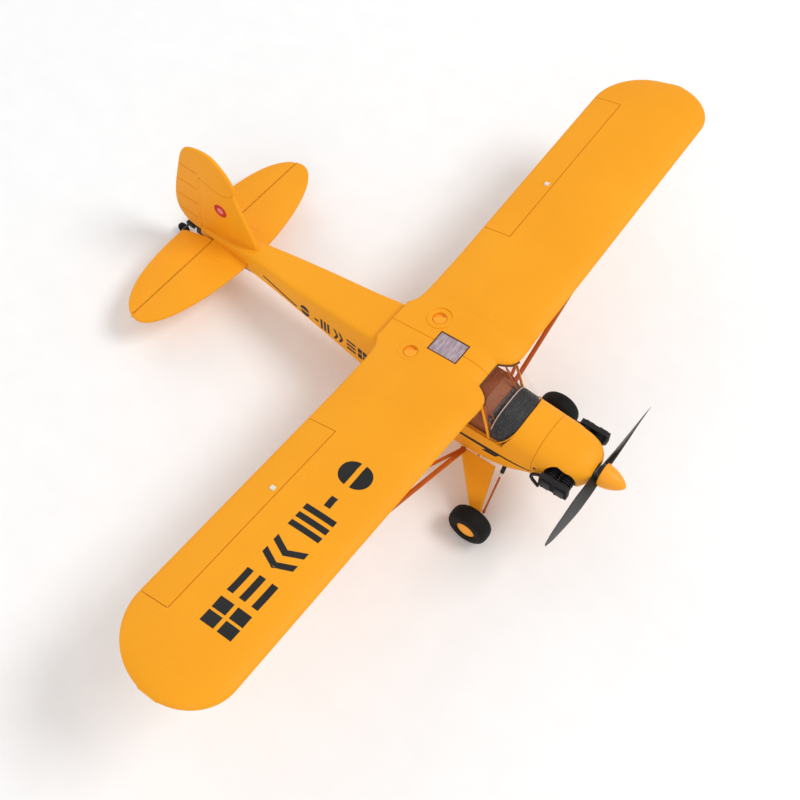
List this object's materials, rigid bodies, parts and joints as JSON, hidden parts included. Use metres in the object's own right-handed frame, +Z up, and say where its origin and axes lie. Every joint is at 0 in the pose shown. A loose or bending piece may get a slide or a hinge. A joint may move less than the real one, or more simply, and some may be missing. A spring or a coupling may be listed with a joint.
{
  "type": "radio-controlled foam aeroplane",
  "caption": "High-wing foam model aeroplane with moving control surfaces, servo linkages, spinning propeller, rolling wheels and a belly battery hatch.",
  "frame": {"origin": "on the ground, under the middle of the model's bounding box, with the model standing on its main wheels and tail wheel", "axes": "+X along the span towards the pilot's left wing tip, -Y towards the nose, +Z up; the body is tipped nose-up by its three-point stance"},
  "size_m": [0.65, 0.4247, 0.134],
  "materials": {
    "foam": "satin",
    "moulded_yellow": "satin",
    "black_plastic": "satin",
    "glazing": "gloss",
    "cabin_brown": "satin",
    "strut_brown": "satin",
    "glare_panel": "satin",
    "steel_wire": "satin",
    "motor_can": "satin",
    "plywood": "matte",
    "servo_case": "satin",
    "white_nylon": "satin",
    "circuit_board": "satin",
    "battery_wrap": "gloss",
    "tyre_rubber": "matte"
  },
  "bodies": {
    "airframe": {"fuselage_shell": "foam", "cowl": "foam", "firewall": "plywood", "cowl_screws": "black_plastic", "motor_stator": "motor_can", "cylinder_bank_left": "black_plastic", "cylinder_bank_right": "black_plastic", "exhaust_pipes": "black_plastic", "battery": "battery_wrap", "battery_tray": "plywood", "control_board": "circuit_board", "servo_tray": "plywood", "tail_servos": "servo_case", "wing": "foam", "wing_screws": "moulded_yellow", "screw_seats": "moulded_yellow", "skylight": "glazing", "windshield": "glazing", "side_windows": "glazing", "window_posts": "moulded_yellow", "glare_shield": "glare_panel", "cabin_liner": "cabin_brown", "stabiliser": "foam", "fin": "foam", "aileron_servos": "servo_case", "gear_legs": "foam", "gear_wire": "steel_wire", "shock_struts": "strut_brown", "wheel_collars": "steel_wire", "strut_left": "strut_brown", "strut_right": "strut_brown", "strut_clips": "black_plastic"},
    "propeller_unit": {"motor_bell": "motor_can", "propeller": "black_plastic", "prop_nut": "steel_wire", "spinner": "moulded_yellow"},
    "wheel_left": {"tyre_left": "tyre_rubber", "hub_left": "moulded_yellow"},
    "wheel_right": {"tyre_right": "tyre_rubber", "hub_right": "moulded_yellow"},
    "rudder_unit": {"rudder": "foam", "rudder_horn": "black_plastic", "tail_wheel_bracket": "black_plastic"},
    "tail_wheel_unit": {"tail_wheel": "tyre_rubber"},
    "elevator_unit": {"elevator": "foam", "elevator_joiner": "steel_wire", "elevator_horn": "white_nylon"},
    "aileron_left_unit": {"aileron_left": "foam", "aileron_horn_left": "white_nylon"},
    "aileron_right_unit": {"aileron_right": "foam", "aileron_horn_right": "white_nylon"},
    "arm_left": {"servo_arm_left": "white_nylon"},
    "arm_right": {"servo_arm_right": "white_nylon"},
    "arm_elevator": {"servo_arm_elevator": "white_nylon"},
    "arm_rudder": {"servo_arm_rudder": "white_nylon"},
    "rod_left": {"pushrod_left": "steel_wire"},
    "rod_right": {"pushrod_right": "steel_wire"},
    "rod_elevator": {"pushrod_elevator": "steel_wire"},
    "rod_rudder": {"pushrod_rudder": "steel_wire"},
    "hatch": {"battery_hatch": "foam"}
  },
  "joints": [
    {"name": "propeller_spin", "type": "hinge", "parent": "airframe", "child": "propeller_unit", "pos_m": [0, -0.19297, 0.08616], "axis": [0, -0.9814, 0.1921], "continuous": true},
    {"name": "wheel_left_spin", "type": "hinge", "parent": "airframe", "child": "wheel_left", "pos_m": [0.064, -0.13793, 0.017], "axis": [1, 0, 0], "continuous": true},
    {"name": "wheel_right_spin", "type": "hinge", "parent": "airframe", "child": "wheel_right", "pos_m": [-0.064, -0.13793, 0.017], "axis": [1, 0, 0], "continuous": true},
    {"name": "rudder_turn", "type": "hinge", "parent": "airframe", "child": "rudder_unit", "pos_m": [0, 0.18639, 0.06897], "axis": [0, 0.0745, 0.9972], "range_deg": [-25, 25]},
    {"name": "tail_wheel_spin", "type": "hinge", "parent": "rudder_unit", "child": "tail_wheel_unit", "pos_m": [0, 0.20352, 0.0055], "axis": [1, 0, 0], "continuous": true},
    {"name": "elevator_tilt", "type": "hinge", "parent": "airframe", "child": "elevator_unit", "pos_m": [0, 0.1687, 0.03066], "axis": [1, 0, 0], "range_deg": [-20, 20]},
    {"name": "aileron_left_tilt", "type": "hinge", "parent": "airframe", "child": "aileron_left_unit", "pos_m": [0.171, -0.02996, 0.11256], "axis": [0.9976, 0.0134, 0.0685], "range_deg": [-20, 20]},
    {"name": "aileron_right_tilt", "type": "hinge", "parent": "airframe", "child": "aileron_right_unit", "pos_m": [-0.171, -0.02996, 0.11256], "axis": [0.9976, -0.0134, -0.0685], "range_deg": [-20, 20]},
    {"name": "servo_arm_left_turn", "type": "hinge", "parent": "airframe", "child": "arm_left", "pos_m": [0.171, -0.06363, 0.11915], "axis": [0.9976, 0.0134, 0.0685], "range_deg": [-20, 20]},
    {"name": "servo_arm_right_turn", "type": "hinge", "parent": "airframe", "child": "arm_right", "pos_m": [-0.171, -0.06363, 0.11915], "axis": [0.9976, -0.0134, -0.0685], "range_deg": [-20, 20]},
    {"name": "servo_arm_elevator_turn", "type": "hinge", "parent": "airframe", "child": "arm_elevator", "pos_m": [-0.0075, -0.03212, 0.07709], "axis": [1, 0, 0], "range_deg": [-20, 20]},
    {"name": "servo_arm_rudder_turn", "type": "hinge", "parent": "airframe", "child": "arm_rudder", "pos_m": [0, -0.0596, 0.08247], "axis": [0, 0.0745, 0.9972], "range_deg": [-25, 25]},
    {"name": "pushrod_left_swing", "type": "hinge", "parent": "arm_left", "child": "rod_left", "pos_m": [0.17173, -0.06564, 0.10887], "axis": [0.9976, 0.0134, 0.0685], "range_deg": [-20, 20]},
    {"name": "pushrod_right_swing", "type": "hinge", "parent": "arm_right", "child": "rod_right", "pos_m": [-0.17173, -0.06564, 0.10887], "axis": [0.9976, -0.0134, -0.0685], "range_deg": [-20, 20]},
    {"name": "pushrod_elevator_swing", "type": "hinge", "parent": "arm_elevator", "child": "rod_elevator", "pos_m": [-0.0075, -0.03365, 0.06924], "axis": [1, 0, 0], "range_deg": [-20, 20]},
    {"name": "pushrod_rudder_swing", "type": "hinge", "parent": "arm_rudder", "child": "rod_rudder", "pos_m": [0.008, -0.0596, 0.08247], "axis": [0, 0.0745, 0.9972], "range_deg": [-25, 25]},
    {"name": "battery_hatch_open", "type": "hinge", "parent": "airframe", "child": "hatch", "pos_m": [0, -0.15115, 0.05538], "axis": [-1, 0, 0], "range_deg": [0, 70]}
  ],
  "couplings": [
    {"joint": "aileron_right_tilt", "follows": "aileron_left_tilt", "ratio": -1},
    {"joint": "servo_arm_left_turn", "follows": "aileron_left_tilt", "ratio": 1},
    {"joint": "servo_arm_right_turn", "follows": "aileron_left_tilt", "ratio": -1},
    {"joint": "pushrod_left_swing", "follows": "aileron_left_tilt", "ratio": -1},
    {"joint": "pushrod_right_swing", "follows": "aileron_left_tilt", "ratio": 1},
    {"joint": "servo_arm_elevator_turn", "follows": "elevator_tilt", "ratio": 1},
    {"joint": "pushrod_elevator_swing", "follows": "elevator_tilt", "ratio": -1},
    {"joint": "servo_arm_rudder_turn", "follows": "rudder_turn", "ratio": 1},
    {"joint": "pushrod_rudder_swing", "follows": "rudder_turn", "ratio": -1}
  ]
}
